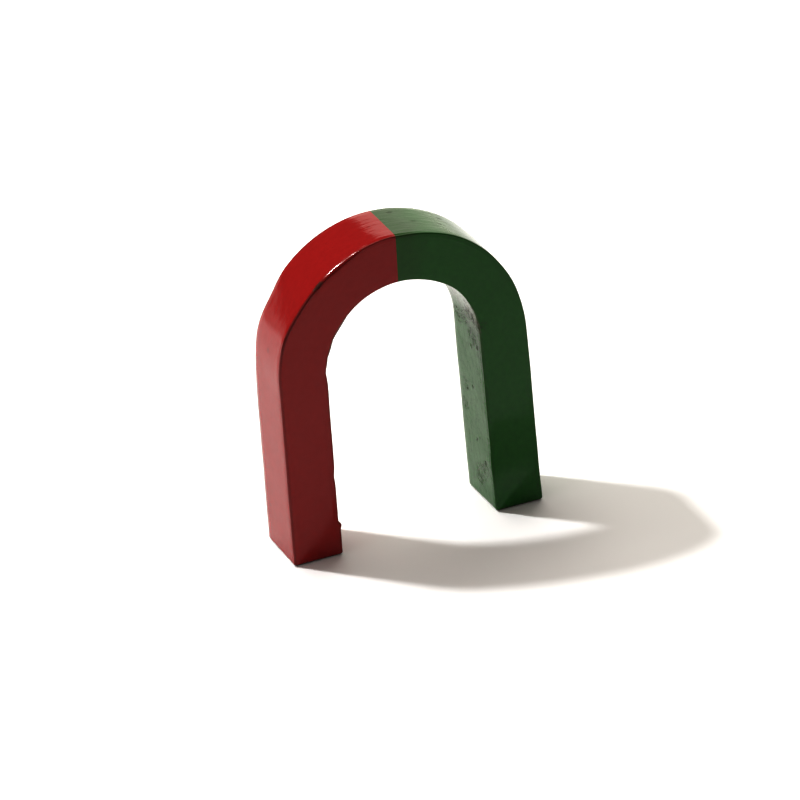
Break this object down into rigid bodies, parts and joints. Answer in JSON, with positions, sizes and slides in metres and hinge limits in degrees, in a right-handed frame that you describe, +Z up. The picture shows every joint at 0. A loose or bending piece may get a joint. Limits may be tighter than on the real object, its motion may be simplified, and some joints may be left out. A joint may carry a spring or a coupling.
{
  "type": "horseshoe magnet",
  "caption": "U-shaped bar magnet of rectangular section, enamelled red on one leg and green on the other, that stands on its ground pole faces.",
  "frame": {"origin": "on the floor, midway between the two pole faces and midway through the bar's depth", "axes": "+Z up from the poles to the crown of the bend, +X from the red leg to the green leg, +Y from the front face to the back face"},
  "size_m": [0.0818, 0.0208, 0.1],
  "materials": {
    "enamel": "glossy brushed enamel on magnet steel, dark red on the one half and dark green on the other, worn at the edges; ground steel on the pole faces"
  },
  "bodies": {
    "root": {"magnet": "enamel"}
  },
  "joints": []
}
